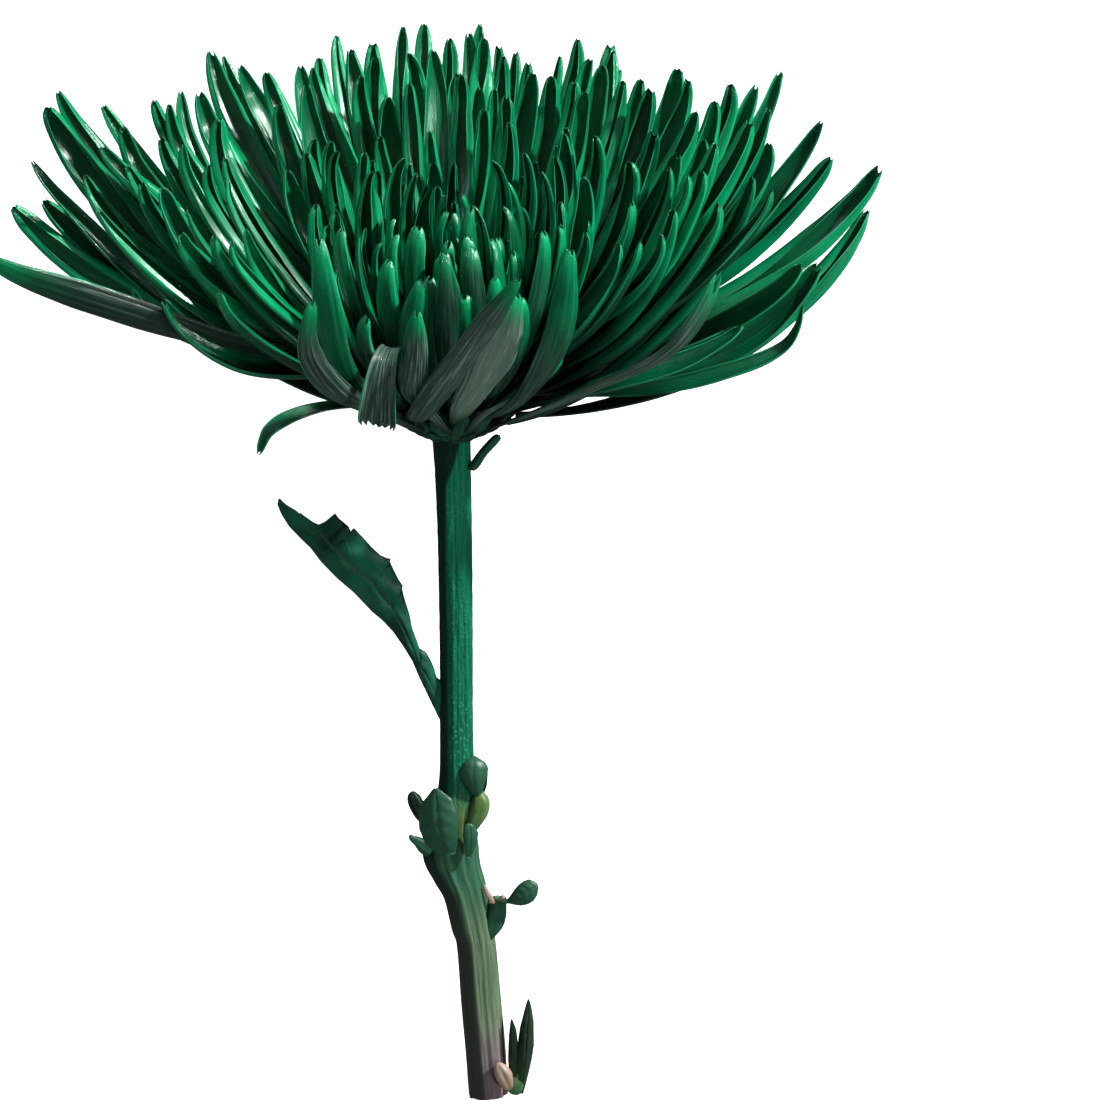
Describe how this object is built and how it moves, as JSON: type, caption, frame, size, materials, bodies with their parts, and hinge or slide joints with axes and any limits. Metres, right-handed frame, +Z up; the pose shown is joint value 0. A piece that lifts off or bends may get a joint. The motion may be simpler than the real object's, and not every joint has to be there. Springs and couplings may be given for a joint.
{
  "type": "spider chrysanthemum",
  "caption": "Cut spider chrysanthemum lying on its side: a dense round head of tubular green florets with hooked tips, on a ribbed stem with a leaf and small buds.",
  "frame": {"origin": "on the surface the flower lies on, under the middle of the whole flower's box", "axes": "+Y runs from the cut end of the stem towards the head, +Z is up from the surface, and +X is to the right for someone looking down with the head away from them"},
  "size_m": [0.1352, 0.163, 0.0855],
  "materials": {
    "dyed_floret": "waxy, dyed green",
    "floret_underside": "silky, ribbed, grey-green",
    "receptacle_tissue": "matt, moist",
    "involucre_bracts": "matt, downy",
    "stem_skin": "ribbed, slightly warty",
    "leaf_blade": "matt, veined",
    "young_leaf": "soft satin",
    "bud_scales": "satin"
  },
  "bodies": {
    "root": {"stem": "stem_skin", "receptacle": "receptacle_tissue", "involucre": "involucre_bracts", "leaf": "leaf_blade", "side_stalk": "stem_skin", "side_bud": "bud_scales", "node_bract_large": "young_leaf", "node_bract_dark": "young_leaf", "node_bract_hooked": "young_leaf", "node_bract_small": "young_leaf", "axil_cup": "young_leaf", "spoon_leaflet": "young_leaf", "lobed_leaflet": "leaf_blade", "pale_bud": "bud_scales", "disc_florets": "dyed_floret", "inner_florets_1": "dyed_floret", "inner_florets_2": "dyed_floret", "inner_florets_3": "dyed_floret", "middle_florets_1": "dyed_floret", "middle_florets_2": "dyed_floret", "middle_florets_3": "dyed_floret", "middle_florets_4": "dyed_floret", "middle_florets_5": "dyed_floret", "middle_florets_6": "dyed_floret", "ray_floret_01": "floret_underside", "ray_floret_02": "floret_underside", "ray_floret_03": "floret_underside", "ray_floret_04": "floret_underside", "ray_floret_05": "dyed_floret", "ray_floret_06": "dyed_floret", "ray_floret_07": "dyed_floret", "ray_floret_08": "dyed_floret", "ray_floret_09": "dyed_floret", "ray_floret_10": "dyed_floret", "ray_floret_11": "dyed_floret", "ray_floret_12": "dyed_floret", "ray_floret_13": "dyed_floret", "ray_floret_14": "dyed_floret", "ray_floret_15": "dyed_floret", "ray_floret_16": "dyed_floret", "ray_floret_17": "floret_underside", "ray_floret_18": "floret_underside", "ray_floret_19": "floret_underside", "ray_floret_20": "floret_underside", "ray_floret_21": "floret_underside", "ray_floret_22": "dyed_floret", "ray_floret_23": "dyed_floret", "ray_floret_24": "dyed_floret", "ray_floret_25": "dyed_floret", "ray_floret_26": "dyed_floret", "ray_floret_27": "dyed_floret", "ray_floret_28": "dyed_floret", "ray_floret_29": "dyed_floret", "ray_floret_30": "dyed_floret", "ray_floret_31": "dyed_floret", "ray_floret_32": "dyed_floret", "ray_floret_33": "floret_underside", "ray_floret_34": "floret_underside", "ray_floret_35": "floret_underside", "ray_floret_36": "floret_underside"}
  },
  "joints": []
}
